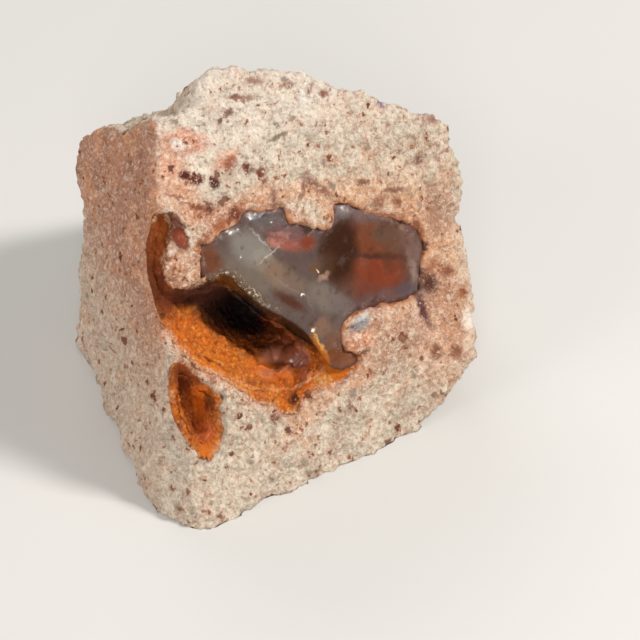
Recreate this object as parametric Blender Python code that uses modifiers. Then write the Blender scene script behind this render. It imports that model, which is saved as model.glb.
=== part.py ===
"""Rough fire agate: a broken block of pale rhyolite with an agate window in a cavity.

The block leans back behind its window face. The agate fills the right of the cavity, and
the left of it is an open hollow lined with an orange crust. A small crusted pit lies below.
Lengths below are in millimetres. The model is built in metres, +Z up, with its origin at
the middle of the block's base.
"""

import math
from collections import namedtuple

import bmesh
import bpy
from mathutils import Matrix, Vector, noise

MM = 0.001

# The block, as broken faces. Azimuth turns from +X, and elevation is the normal's rise.
# The block's toe, where the window face meets the table, is the zero of these points.
Facet = namedtuple("Facet", "name azimuth elevation through")
WINDOW_LEAN = 25.7
WINDOW_FACE = Facet("window face", -90.0, WINDOW_LEAN, (0.0, 0.0, 0.0))
FACETS = (
    WINDOW_FACE,
    Facet("base", 0.0, -90.0, (0.0, 0.0, -1.5)),
    Facet("heel", 202.0, 18.5, (-0.5, 0.0, 0.0)),
    Facet("left face", 165.7, 8.9, (-2.5, 4.9, 0.0)),
    Facet("left back", 143.0, 2.0, (-0.7, 22.0, 7.0)),
    Facet("crown", 70.0, 44.0, (13.1, 16.2, 33.2)),
    Facet("shoulder", 48.4, 34.0, (22.7, 14.7, 30.3)),
    Facet("right face", -5.0, -6.5, (30.8, 2.3, 4.7)),
    Facet("right undercut", 10.0, -62.0, (23.3, 0.9, 0.0)),
    Facet("back", 97.0, 9.0, (15.0, 36.0, 6.0)),
    Facet("back right", 42.0, 4.0, (29.0, 27.5, 10.0)),
    Facet("back undercut", 80.0, -42.0, (14.0, 33.5, 0.0)),
    Facet("back right undercut", 35.0, -38.0, (25.0, 24.0, 0.0)),
)
# The ledge at the left end of the crown: a tread, and a riser that faces left.
LEDGE_TREAD = Facet("ledge tread", 73.0, 54.4, (5.3, 15.4, 32.0))
LEDGE_RISER = Facet("ledge riser", 138.0, 30.0, (9.3, 15.3, 32.3))

BLANK_SIDE = 120.0

# Broken relief on the block: lump size, height and the number of finer repeats.
LUMP_SIZE = 5.0
LUMP_HEIGHT = 0.5
LUMP_REPEATS = 3
SCAR_SIZE = 6.5
SCAR_DEPTH = 0.3
BLOCK_GRID = 0.8
BLOCK_KEEP = 0.21

# Outlines on the window face: across to the right, then up it, from the toe.
HOLLOW_MOUTH = (
    (4.4, 28.4), (4.8, 26.8), (4.2, 25.2), (3.3, 24.0), (2.9, 22.6), (3.6, 21.4), (5.0, 20.9),
    (6.6, 21.0), (8.2, 21.4), (9.3, 20.7), (9.9, 19.3), (11.4, 16.9), (13.1, 15.3),
    (14.2, 14.1), (15.1, 12.7), (15.8, 10.7), (16.4, 8.9), (18.7, 8.5), (18.5, 7.9),
    (17.1, 7.2), (15.4, 7.2), (13.5, 7.4), (12.2, 6.9), (11.5, 6.2), (10.2, 6.7),
    (9.3, 8.0), (7.7, 8.8), (6.7, 10.4), (5.1, 12.5), (3.5, 13.8), (2.5, 15.6),
    (1.6, 17.8), (1.3, 20.7), (1.3, 23.4), (2.0, 25.8), (3.2, 27.9),
)
VOID_MOUTH = (
    (3.8, 20.3), (6.4, 19.9), (7.8, 20.1), (8.4, 19.5), (8.9, 18.3), (10.4, 16.0),
    (12.0, 14.5), (13.1, 13.3), (14.0, 12.1), (14.6, 10.8), (14.7, 9.2), (13.2, 8.2),
    (11.5, 7.6), (9.8, 8.7), (8.3, 9.7), (7.3, 11.3), (5.7, 13.3), (4.2, 14.5),
    (3.2, 16.1), (2.3, 18.1), (2.4, 19.8),
)
AGATE_MOUTH = (
    (6.4, 20.0), (6.5, 22.6), (6.9, 24.1), (8.4, 24.2), (9.5, 24.5), (10.6, 24.1), (11.7, 25.2),
    (13.1, 24.6), (15.4, 24.2), (15.4, 22.9), (17.2, 21.9), (18.5, 20.9), (20.0, 21.2),
    (20.1, 22.9), (21.5, 22.4), (23.4, 20.7), (25.9, 19.2), (27.6, 17.7), (27.9, 16.0),
    (27.0, 14.4), (26.3, 12.1), (24.1, 12.0), (21.9, 12.6), (19.5, 12.8), (18.0, 12.4),
    (17.4, 10.7), (17.8, 9.5), (19.2, 9.1), (18.6, 8.3), (16.0, 8.4), (13.5, 10.0),
    (11.0, 12.5), (8.5, 16.0),
)
PIT_MOUTH = (
    (2.0, 15.8), (2.8, 14.8), (3.7, 12.9), (4.7, 11.8), (5.2, 10.5), (4.7, 9.0), (4.6, 7.2),
    (3.6, 6.0), (2.2, 5.3), (1.2, 6.4), (0.7, 8.2), (0.2, 10.7), (0.5, 12.9), (1.1, 14.8),
)
PIT_HOLLOW = (
    (2.0, 14.3), (2.5, 13.4), (3.0, 12.0), (3.8, 11.2), (4.1, 10.2), (3.6, 9.2), (3.5, 8.0),
    (2.8, 7.3), (2.1, 7.0), (1.7, 7.6), (1.5, 8.8), (1.1, 10.4), (1.3, 12.2), (1.6, 13.4),
)

# How each cutter narrows: depth, size against the mouth, and shift to the right and up.
Section = namedtuple("Section", "depth size right rise")
HOLLOW_HEART = (11.6, 14.2)
HOLLOW_SECTIONS = (
    Section(1.2, 0.95, 0.3, 0.0),
    Section(2.8, 0.85, 0.9, 0.1),
    Section(4.8, 0.73, 1.6, 0.0),
    Section(7.0, 0.60, 2.2, -0.1),
    Section(9.2, 0.44, 2.6, -0.2),
    Section(10.8, 0.22, 2.8, -0.2),
)
VOID_SECTIONS = (
    Section(1.2, 0.91, 0.3, 0.0),
    Section(2.6, 0.78, 0.8, 0.1),
    Section(4.5, 0.63, 1.5, 0.0),
    Section(6.5, 0.48, 2.1, -0.1),
    Section(8.2, 0.31, 2.5, -0.2),
    Section(9.2, 0.13, 2.7, -0.2),
)
AGATE_HEART = (17.8, 16.6)
AGATE_SECTIONS = (
    Section(1.5, 0.97, 0.0, 0.0),
    Section(3.2, 0.90, 0.0, 0.0),
    Section(5.0, 0.77, 0.0, 0.2),
    Section(6.6, 0.58, 0.0, 0.3),
    Section(7.7, 0.32, 0.0, 0.4),
)
PIT_HEART = (2.6, 10.6)
PIT_SECTIONS = (
    Section(0.9, 0.90, 0.2, 0.0),
    Section(1.9, 0.72, 0.4, 0.0),
    Section(2.8, 0.42, 0.5, 0.0),
)
PIT_HOLLOW_SECTIONS = (
    Section(1.3, 0.82, 0.2, 0.0),
    Section(1.9, 0.42, 0.3, 0.0),
)
SMOOTH_FROM = 2.0
SMOOTH_ROUNDS = 4
PLUG_GRID = 0.3
CUTTER_KEEP = 0.05

CLEAR_OF_FACE = 4.0
GAP = 0.3
AGATE_RECESS = 0.3
CRUST_RECESS = 0.3

# The crust's bubbles: their spacing and height.
BUBBLE_SIZE = 1.9
BUBBLE_HEIGHT = 0.5
CRUST_KEEP = 0.10
PIT_CRUST_KEEP = 0.20

# The agate's shell-like break, across its window.
BREAK_SIZE = 9.0
BREAK_HEIGHT = 0.5
AGATE_KEEP = 0.07


def facet_normal(facet):
    azimuth = math.radians(facet.azimuth)
    elevation = math.radians(facet.elevation)
    level = math.cos(elevation)
    return Vector((level * math.cos(azimuth), level * math.sin(azimuth), math.sin(elevation)))


def window_frame():
    """Places the outlines' plane on the window face: X across it, Y up it and Z out of it."""
    lean = math.radians(WINDOW_LEAN)
    across = Vector((1.0, 0.0, 0.0))
    rise = Vector((0.0, math.sin(lean), math.cos(lean)))
    out = across.cross(rise)
    return Matrix((across, rise, out)).transposed().to_4x4()


def new_object(name, bm, collection):
    mesh = bpy.data.meshes.new(name)
    bm.to_mesh(mesh)
    bm.free()
    made = bpy.data.objects.new(name, mesh)
    collection.objects.link(made)
    return made


def bmesh_of(obj):
    bm = bmesh.new()
    bm.from_mesh(obj.data)
    return bm


def bake_modifiers(obj):
    """Gives the object the mesh that its modifiers make, and clears them."""
    bpy.context.view_layer.update()
    evaluated = obj.evaluated_get(bpy.context.evaluated_depsgraph_get())
    made = bpy.data.meshes.new_from_object(evaluated)
    obj.modifiers.clear()
    obj.data = made
    return obj


def join_or_cut(obj, other, operation):
    change = obj.modifiers.new("cut or join", "BOOLEAN")
    change.operation = operation
    change.object = other
    return bake_modifiers(obj)


def even_grid(obj, size):
    grid = obj.modifiers.new("even grid", "REMESH")
    grid.mode = "VOXEL"
    grid.voxel_size = size * MM
    return bake_modifiers(obj)


def thin_out(obj, keep):
    fewer = obj.modifiers.new("fewer faces", "DECIMATE")
    fewer.ratio = keep
    return bake_modifiers(obj)


def block_between(name, facets, collection):
    """A block with one side on each facet, cut from a cube."""
    bm = bmesh.new()
    bmesh.ops.create_cube(bm, size=BLANK_SIDE * MM)
    for facet in facets:
        bmesh.ops.bisect_plane(
            bm,
            geom=bm.verts[:] + bm.edges[:] + bm.faces[:],
            plane_co=Vector(facet.through) * MM,
            plane_no=facet_normal(facet),
            clear_outer=True,
        )
        rim = [edge for edge in bm.edges if edge.is_boundary]
        bmesh.ops.holes_fill(bm, edges=rim)
    bmesh.ops.recalc_face_normals(bm, faces=bm.faces[:])
    return new_object(name, bm, collection)


def depth_in_block(point):
    """How far a point lies inside the nearest of the block's broken faces."""
    through = [Vector(facet.through) * MM for facet in FACETS]
    return -max(facet_normal(f).dot(point - at) for f, at in zip(FACETS, through))


def relief_height(point):
    """Lumps with finer lumps on them, less the shallow scars between broken flakes."""
    at = point / MM
    lumps = noise.fractal(at / LUMP_SIZE, 1.0, 2.1, LUMP_REPEATS)
    near, next_near = noise.voronoi(at / SCAR_SIZE)[0][:2]
    scar = max(0.0, 1.0 - 4.0 * (next_near - near))
    return LUMP_HEIGHT * lumps - SCAR_DEPTH * scar


def roughen(obj, height_at):
    bm = bmesh_of(obj)
    bm.normal_update()
    moves = [vert.normal * height_at(vert.co, vert.normal) for vert in bm.verts]
    for vert, move in zip(bm.verts, moves):
        vert.co += move * MM
    bm.to_mesh(obj.data)
    bm.free()


def keep_largest(obj):
    """Leaves out the crumbs that a cut makes, and keeps the one large body."""
    bm = bmesh_of(obj)
    unseen = set(bm.verts)
    bodies = []
    while unseen:
        body = set()
        edge_of_walk = [next(iter(unseen))]
        while edge_of_walk:
            vert = edge_of_walk.pop()
            if vert in body:
                continue
            body.add(vert)
            edge_of_walk.extend(edge.other_vert(vert) for edge in vert.link_edges)
        unseen -= body
        bodies.append(body)
    largest = max(bodies, key=len)
    crumbs = [vert for vert in bm.verts if vert not in largest]
    bmesh.ops.delete(bm, geom=crumbs, context="VERTS")
    bm.to_mesh(obj.data)
    bm.free()


def shrink(obj, gap):
    """Draws the surface in by the gap, all over."""
    roughen(obj, lambda point, normal: -gap)
    return even_grid(obj, PLUG_GRID)


def trim_base(obj):
    """Cuts the block's underside flat, so that it rests on one face."""
    bm = bmesh_of(obj)
    bmesh.ops.bisect_plane(
        bm,
        geom=bm.verts[:] + bm.edges[:] + bm.faces[:],
        plane_co=Vector((0.0, 0.0, 0.0)),
        plane_no=Vector((0.0, 0.0, -1.0)),
        clear_outer=True,
    )
    rim = [edge for edge in bm.edges if edge.is_boundary]
    bmesh.ops.holes_fill(bm, edges=rim)
    bmesh.ops.triangulate(bm, faces=bm.faces[:])
    bmesh.ops.recalc_face_normals(bm, faces=bm.faces[:])
    bm.to_mesh(obj.data)
    bm.free()


def plug(name, mouth, heart, sections, start, collection):
    """A solid from the mouth's outline inwards, one section after another.

    It starts at the given height over the window face.
    """
    bm = bmesh.new()
    end = bm.faces.new([bm.verts.new((right, rise, start)) for right, rise in mouth])
    middle = Vector((heart[0], heart[1], 0.0))
    here = Section(-start, 1.0, 0.0, 0.0)
    rows = [Section(0.25, 1.0, 0.0, 0.0)] if start > 0 else []
    for section in rows + list(sections):
        made = bmesh.ops.extrude_face_region(bm, geom=[end])["geom"]
        verts = [item for item in made if isinstance(item, bmesh.types.BMVert)]
        end = next(item for item in made if isinstance(item, bmesh.types.BMFace))
        shift = Vector((section.right - here.right, section.rise - here.rise, 0.0))
        drop = Vector((0.0, 0.0, here.depth - section.depth))
        about = Matrix.Translation(-middle - Vector((here.right, here.rise, 0.0)))
        grown = section.size / here.size
        bmesh.ops.scale(bm, vec=(grown, grown, 1.0), space=about, verts=verts)
        bmesh.ops.translate(bm, vec=shift + drop, verts=verts)
        here = section
    bmesh.ops.recalc_face_normals(bm, faces=bm.faces[:])
    deep = [vert for vert in bm.verts if vert.co.z < -SMOOTH_FROM]
    for _ in range(SMOOTH_ROUNDS):
        bmesh.ops.smooth_vert(
            bm, verts=deep, factor=0.5, use_axis_x=True, use_axis_y=True, use_axis_z=False
        )
    bmesh.ops.triangulate(bm, faces=bm.faces[:])
    bm.transform(Matrix.Scale(MM, 4))
    bm.transform(window_frame())
    made = new_object(name, bm, collection)
    return even_grid(made, PLUG_GRID)


def build_block(collection, cutters):
    """The host rock, with its relief and ledge, before the cavity is cut."""
    block = block_between("host_rock", FACETS, collection)
    reach = Facet("reach", -90.0, 0.0, (0.0, -20.0, 0.0))
    tread = opposite(LEDGE_TREAD)
    riser = opposite(LEDGE_RISER)
    ledge = block_between("ledge cutter", (tread, riser, reach), cutters)
    join_or_cut(block, ledge, "DIFFERENCE")
    even_grid(block, BLOCK_GRID)
    roughen(block, lambda point, normal: relief_height(point))
    thin_out(block, BLOCK_KEEP)
    trim_base(block)
    return block


def opposite(facet):
    """The same plane, with its normal turned round."""
    return Facet(facet.name, facet.azimuth + 180.0, -facet.elevation, facet.through)


def cut_cavity(block, cutters):
    """Opens the hollow, the agate's seat and the pit in the block."""
    hollow = plug(
        "hollow cutter", HOLLOW_MOUTH, HOLLOW_HEART, HOLLOW_SECTIONS, CLEAR_OF_FACE, cutters
    )
    seat = plug(
        "agate seat cutter", AGATE_MOUTH, AGATE_HEART, AGATE_SECTIONS, CLEAR_OF_FACE, cutters
    )
    pit = plug("pit cutter", PIT_MOUTH, PIT_HEART, PIT_SECTIONS, CLEAR_OF_FACE, cutters)
    for cutter in (hollow, seat, pit):
        thin_out(cutter, CUTTER_KEEP)
        join_or_cut(block, cutter, "DIFFERENCE")
    keep_largest(block)
    return hollow


def break_height(point, normal):
    """Broad shallow scoops in the surface that faces out of the window."""
    facing = max(0.0, normal.dot(facet_normal(WINDOW_FACE)) - 0.6) / 0.4
    near = noise.voronoi(point / MM / BREAK_SIZE)[0][0]
    return -facing * BREAK_HEIGHT * max(0.0, 1.0 - 1.8 * near)


def build_agate(collection, hollow):
    """The agate: the seat's own shape less the hollow, with a shell-like break in front."""
    agate = plug(
        "agate_filling", AGATE_MOUTH, AGATE_HEART, AGATE_SECTIONS, GAP - AGATE_RECESS, collection
    )
    shrink(agate, GAP)
    roughen(agate, break_height)
    join_or_cut(agate, hollow, "DIFFERENCE")
    even_grid(agate, PLUG_GRID)
    keep_largest(agate)
    thin_out(agate, AGATE_KEEP)
    return agate


def bubble_height(point):
    """Round bubbles, each highest over its own middle."""
    near = noise.voronoi(point / MM / BUBBLE_SIZE)[0][0]
    return BUBBLE_HEIGHT * (0.5 - near)


def build_crust(collection, cutters):
    """The hollow's orange crust: the hollow less its open middle."""
    crust = plug(
        "hollow_crust", HOLLOW_MOUTH, HOLLOW_HEART, HOLLOW_SECTIONS, GAP - CRUST_RECESS, collection
    )
    shrink(crust, GAP)
    void = plug("void cutter", VOID_MOUTH, HOLLOW_HEART, VOID_SECTIONS, CLEAR_OF_FACE, cutters)
    roughen(void, lambda point, normal: -bubble_height(point))
    even_grid(void, PLUG_GRID)
    join_or_cut(crust, void, "DIFFERENCE")
    even_grid(crust, PLUG_GRID)
    keep_largest(crust)
    thin_out(crust, CRUST_KEEP)
    return crust


def build_pit_crust(collection, cutters):
    """The small pit's crust, dished in its middle."""
    crust = plug("pit_crust", PIT_MOUTH, PIT_HEART, PIT_SECTIONS, GAP - CRUST_RECESS, collection)
    shrink(crust, GAP)
    dish = plug(
        "pit dish cutter", PIT_HOLLOW, PIT_HEART, PIT_HOLLOW_SECTIONS, CLEAR_OF_FACE, cutters
    )
    join_or_cut(crust, dish, "DIFFERENCE")
    even_grid(crust, PLUG_GRID)
    keep_largest(crust)
    thin_out(crust, PIT_CRUST_KEEP)
    return crust


def finish_material(obj, name, colour, roughness):
    material = bpy.data.materials.new(name)
    material.use_nodes = True
    surface = material.node_tree.nodes["Principled BSDF"]
    surface.inputs["Base Color"].default_value = (*colour, 1.0)
    surface.inputs["Roughness"].default_value = roughness
    surface.inputs["Metallic"].default_value = 0.0
    obj.data.materials.clear()
    obj.data.materials.append(material)


def stand_on_origin(objects):
    """Moves the object so that its origin is the middle of its base."""
    block = objects[0]
    corners = [Vector(corner) for corner in block.bound_box]
    low = Vector(min(c[i] for c in corners) for i in range(3))
    high = Vector(max(c[i] for c in corners) for i in range(3))
    shift = Vector(((low.x + high.x) / 2, (low.y + high.y) / 2, low.z))
    for obj in objects:
        obj.data.transform(Matrix.Translation(-shift))


def main():
    for obj in list(bpy.data.objects):
        bpy.data.objects.remove(obj)
    stone = bpy.data.collections.new("rough fire agate")
    cutters = bpy.data.collections.new("cutters")
    for collection in (stone, cutters):
        bpy.context.scene.collection.children.link(collection)

    block = build_block(stone, cutters)
    hollow = cut_cavity(block, cutters)
    agate = build_agate(stone, hollow)
    crust = build_crust(stone, cutters)
    pit_crust = build_pit_crust(stone, cutters)

    finish_material(block, "rhyolite", (0.62, 0.52, 0.43), 0.9)
    finish_material(agate, "grey agate", (0.24, 0.22, 0.21), 0.15)
    finish_material(crust, "orange crust", (0.62, 0.20, 0.03), 0.4)
    finish_material(pit_crust, "orange pit crust", (0.58, 0.18, 0.03), 0.4)
    stand_on_origin([block, agate, crust, pit_crust])
    for cutter in cutters.objects:
        cutter.hide_render = True
        cutter.display_type = "WIRE"


main()
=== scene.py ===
"""Dresses the rough fire agate: grainy rhyolite, broken agate and orange crusts.

Each visible piece is grown from the solid that it stands for, so it lies where that solid
lies. Lengths in the module's tables are in millimetres. The panel's sizes are in metres.
"""

import math
from collections import namedtuple

import bmesh
import bpy
from mathutils import Euler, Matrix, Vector, noise
from mathutils.bvhtree import BVHTree


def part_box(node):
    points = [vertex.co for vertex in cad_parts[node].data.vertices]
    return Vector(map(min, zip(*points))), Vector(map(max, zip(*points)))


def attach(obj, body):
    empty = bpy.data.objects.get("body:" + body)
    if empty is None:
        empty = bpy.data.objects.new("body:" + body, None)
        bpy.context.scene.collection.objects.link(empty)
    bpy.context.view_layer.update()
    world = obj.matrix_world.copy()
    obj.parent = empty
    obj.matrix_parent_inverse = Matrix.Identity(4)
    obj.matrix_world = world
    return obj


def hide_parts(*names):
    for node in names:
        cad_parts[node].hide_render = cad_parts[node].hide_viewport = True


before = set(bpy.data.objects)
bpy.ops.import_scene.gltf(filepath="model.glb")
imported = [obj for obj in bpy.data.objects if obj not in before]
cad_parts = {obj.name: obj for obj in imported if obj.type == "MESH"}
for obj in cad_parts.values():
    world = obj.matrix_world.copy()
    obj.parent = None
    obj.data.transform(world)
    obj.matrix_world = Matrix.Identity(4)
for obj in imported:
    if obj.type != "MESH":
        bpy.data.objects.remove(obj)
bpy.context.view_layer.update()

bl_info = {
    "name": "Rough Fire Agate",
    "version": (1, 0, 0),
    "blender": (4, 5, 0),
    "location": "View3D > Sidebar > Fire Agate",
    "description": "Grows the rough surfaces of a fire agate in its rhyolite block",
    "category": "Object",
}

MM = 0.001

# The window face leans back from the block's toe. Outlines on it run right and up it.
TOE = Vector((-15.551, -18.140, 0.0))
WINDOW_LEAN = math.radians(25.7)
LEFT_FACE_NORMAL = Vector((-0.957, 0.244, 0.155))
LEFT_FACE_THROUGH = TOE + Vector((-2.5, 4.9, 0.0))

# The camera stands this far from the block's toe, and looks along this direction.
CAMERA_FROM_TOE = Vector((-82.82, -140.90, 160.69))
CAMERA_LOOK = Vector((0.42726, 0.63583, -0.64279))

# Its lens and its sensor's width, in millimetres, and how near it sees, in metres.
CAMERA_LENS, CAMERA_SENSOR, CAMERA_NEAR = 150.0, 36.0, 0.01

# The soft lights, the place that they are turned to, the studio's glow, and half of the
# floor's width. Lengths here are in metres.
Lamp = namedtuple("Lamp", "name place size watts colour")
LAMPS = (
    Lamp("key light", (0.20, -0.20, 0.30), (0.08, 0.08), 1.45, (1.0, 0.97, 0.93)),
    Lamp("front light", (-0.20, -0.28, 0.22), (0.10, 0.10), 0.50, (1.0, 0.98, 0.95)),
    Lamp("left light", (-0.36, 0.02, 0.13), (0.16, 0.12), 0.46, (1.0, 0.97, 0.94)),
    Lamp("back light", (0.05, 0.28, 0.26), (0.24, 0.10), 0.35, (1.0, 0.98, 0.95)),
)
LIGHTS_AIM = (0.0, -0.004, 0.014)
STUDIO_COLOUR = (1.0, 0.99, 0.97, 1.0)
STUDIO_STRENGTH = 0.34
FLOOR_HALF = 1.5

# A soft-edged oval on the window face, with the colour that it carries. Its middle and half
# sizes are in millimetres, right across the face and up it, and its turn is in degrees.
Patch = namedtuple("Patch", "middle across along turn soft colour strength")


def patches(*rows):
    """A patch from each row of a table."""
    return [Patch(*row) for row in rows]


# Stains of the rock, and painted shade around the nub, under its grain and specks.
ROCK_STAINS = patches(
    ((22.4, 22.9), 4.4, 1.3, -22, 0.6, (0.8, 0.41, 0.21), 0.75),
    ((17.0, 25.0), 3.2, 0.8, -15, 0.6, (0.82, 0.4, 0.21), 0.6),
    ((12.0, 26.2), 3.4, 0.8, 6, 0.7, (0.8, 0.37, 0.18), 0.6),
    ((5.9, 30.6), 1.6, 3.0, 20, 0.6, (0.78, 0.32, 0.17), 0.85),
    ((7.9, 32.8), 2.2, 1.0, -25, 0.5, (0.8, 0.29, 0.15), 0.85),
    ((7.4, 32.7), 1.0, 0.36, -35, 0.4, (0.95, 0.84, 0.76), 1.0),
    ((5.5, 34.6), 0.55, 0.6, 0, 0.4, (0.96, 0.88, 0.8), 0.95),
    ((8.8, 30.4), 1.0, 0.8, 20, 0.5, (0.92, 0.8, 0.64), 0.9),
    ((18.4, 10.3), 0.7, 1.0, -20, 0.5, (0.56, 0.18, 0.075), 0.85),
    ((6.6, 23.5), 0.5, 0.5, 0, 0.5, (0.44, 0.12, 0.02), 0.9),
    ((7.1, 26.6), 1.1, 0.6, -20, 0.6, (0.34, 0.095, 0.042), 0.9),
    ((9.6, 24.9), 2.4, 0.55, 18, 0.5, (0.5, 0.145, 0.05), 0.9),
    ((12.8, 25.5), 1.6, 0.4, -4, 0.6, (0.6, 0.21, 0.09), 0.8),
    ((6.5, 28.0), 1.6, 0.35, -28, 0.6, (0.86, 0.62, 0.44), 0.7),
    ((11.0, 30.1), 1.1, 0.8, 10, 0.6, (0.78, 0.26, 0.11), 0.75),
    ((6.6, 27.4), 1.2, 1.7, 15, 0.6, (0.78, 0.35, 0.18), 0.7),
    ((8.4, 26.0), 1.6, 0.8, -20, 0.6, (0.55, 0.17, 0.07), 0.7),
    ((4.7, 22.6), 1.5, 1.7, 0, 0.5, (0.58, 0.26, 0.135), 0.85),
    # These two rows are painted shade: darker beside the nub and under its overhang at the hollow's
    # top.
    ((3.2, 22.7), 0.6, 1.4, 0, 0.5, (0.42, 0.185, 0.1), 0.9),
    ((5.3, 21.0), 1.3, 0.45, 0, 0.5, (0.36, 0.14, 0.065), 0.9),
    ((28.2, 17.0), 2.6, 5.5, 15, 0.7, (0.8, 0.36, 0.15), 0.7),
    ((27.1, 8.5), 3.4, 4.4, -15, 0.7, (0.78, 0.37, 0.21), 0.7),
    ((22.4, 10.4), 3.0, 1.4, 22, 0.6, (0.82, 0.46, 0.27), 0.7),
    ((19.9, 10.0), 0.8, 1.2, 12, 0.6, (0.72, 0.22, 0.07), 0.75),
    ((18.9, 7.4), 2.2, 0.9, 28, 0.6, (0.78, 0.39, 0.21), 0.6),
    ((12.6, 5.9), 4.0, 0.9, 22, 0.7, (0.8, 0.37, 0.18), 0.55),
    ((5.0, 12.4), 2.4, 0.6, -42, 0.6, (0.8, 0.4, 0.25), 0.7),
    ((30.2, 18.4), 1.8, 2.4, 0, 0.6, (0.46, 0.25, 0.17), 0.8),
    ((28.2, 10.6), 2.0, 3.6, 8, 0.6, (0.56, 0.26, 0.14), 0.85),
    ((22.4, 8.6), 3.2, 1.8, 20, 0.6, (0.45, 0.235, 0.145), 0.8),
    ((22.8, 11.9), 2.0, 0.7, 22, 0.6, (0.74, 0.46, 0.3), 0.8),
    ((20.9, 11.2), 1.0, 0.7, 10, 0.6, (0.56, 0.22, 0.11), 0.8),
)

# The glassy chip on the tongue of rock beside the hollow.
GLASSY_CHIP = patches(
    ((5.0, 25.7), 0.8, 1.75, 12, 0.25, (0.15, 0.018, 0.002), 1.0),
    ((4.9, 26.5), 0.6, 0.9, 12, 0.5, (0.105, 0.028, 0.014), 0.9),
    ((5.4, 25.0), 0.4, 0.6, 12, 0.6, (0.22, 0.034, 0.003), 0.8),
)
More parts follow.
